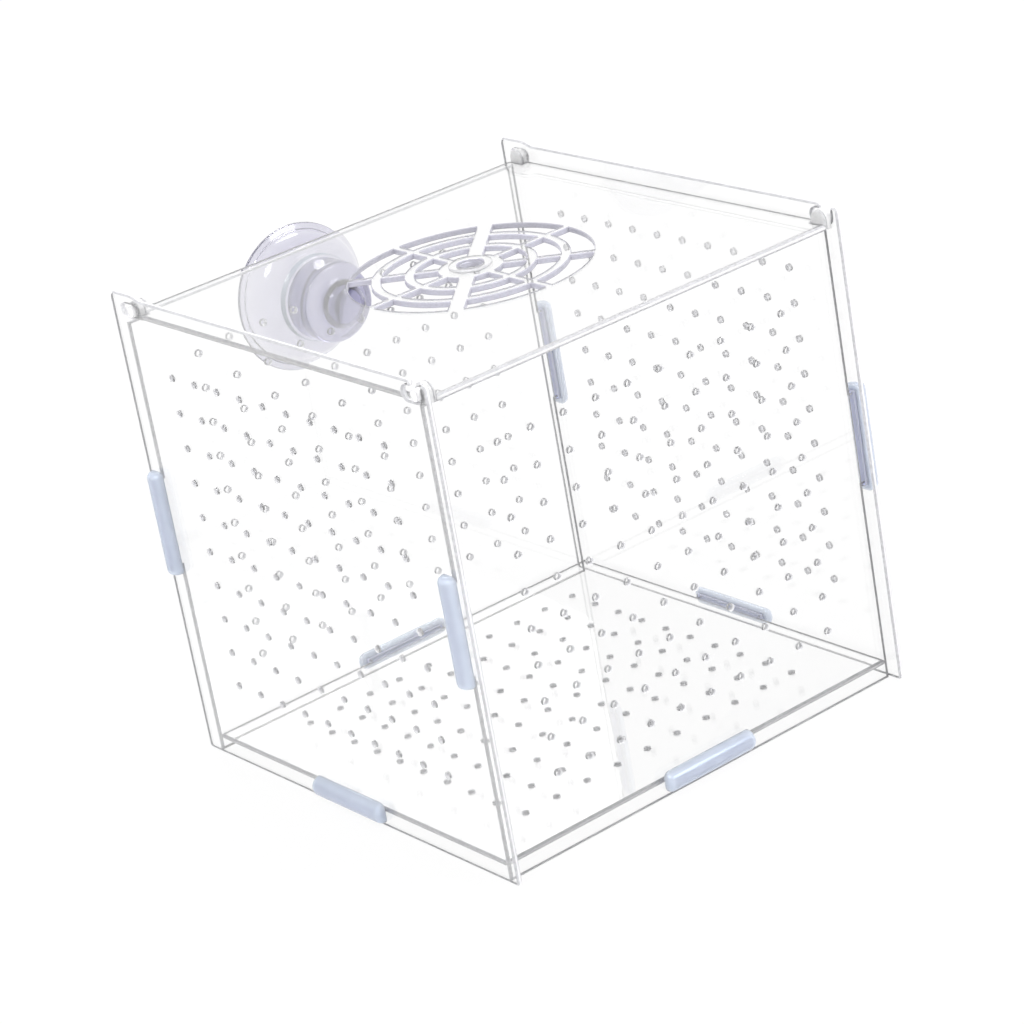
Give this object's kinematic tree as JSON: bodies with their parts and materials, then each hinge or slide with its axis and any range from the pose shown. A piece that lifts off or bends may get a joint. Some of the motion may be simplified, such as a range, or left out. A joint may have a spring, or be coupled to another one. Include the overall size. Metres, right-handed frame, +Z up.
{
  "type": "fish breeding box",
  "caption": "Clear perforated fish breeding box with plug-together panels, half-round blue clips, a grilled lid that slides to latch and swings up, and a suction cup.",
  "frame": {"origin": "on the surface the box stands on, under the middle of the whole extent, suction cup included", "axes": "+X towards the front wall, away from the suction cup; +Y towards the right side wall; +Z up"},
  "size_m": [0.1484, 0.1362, 0.1305],
  "materials": {
    "clear_plastic": "clear, polished sheet with sawn edges",
    "blue_plastic": "translucent blue, glossy moulding",
    "clear_vinyl": "soft translucent vinyl with a faint violet tint, glossy"
  },
  "bodies": {
    "box": {"left_side_wall": "clear_plastic", "right_side_wall": "clear_plastic", "front_wall": "clear_plastic", "back_wall": "clear_plastic", "floor_panel": "clear_plastic", "rear_left_upright_clip": "blue_plastic", "front_left_upright_clip": "blue_plastic", "rear_right_upright_clip": "blue_plastic", "front_right_upright_clip": "blue_plastic", "left_floor_clip": "blue_plastic", "right_floor_clip": "blue_plastic", "rear_floor_clip": "blue_plastic", "front_floor_clip": "blue_plastic", "suction_cup": "clear_vinyl"},
    "hinge_pins": {"hinge_pin_left": "clear_plastic", "hinge_pin_right": "clear_plastic"},
    "lid": {"lid_panel": "clear_plastic", "latch_pin_left": "clear_plastic", "latch_pin_right": "clear_plastic"}
  },
  "joints": [
    {"name": "lid_slide", "type": "slide", "parent": "box", "child": "hinge_pins", "axis": [1, 0, 0], "range_m": [-0.0032, 0]},
    {"name": "lid_hinge", "type": "hinge", "parent": "hinge_pins", "child": "lid", "pos_m": [-0.0496, 0, 0.1262], "axis": [0, -1, 0], "range_deg": [0, 110]}
  ]
}
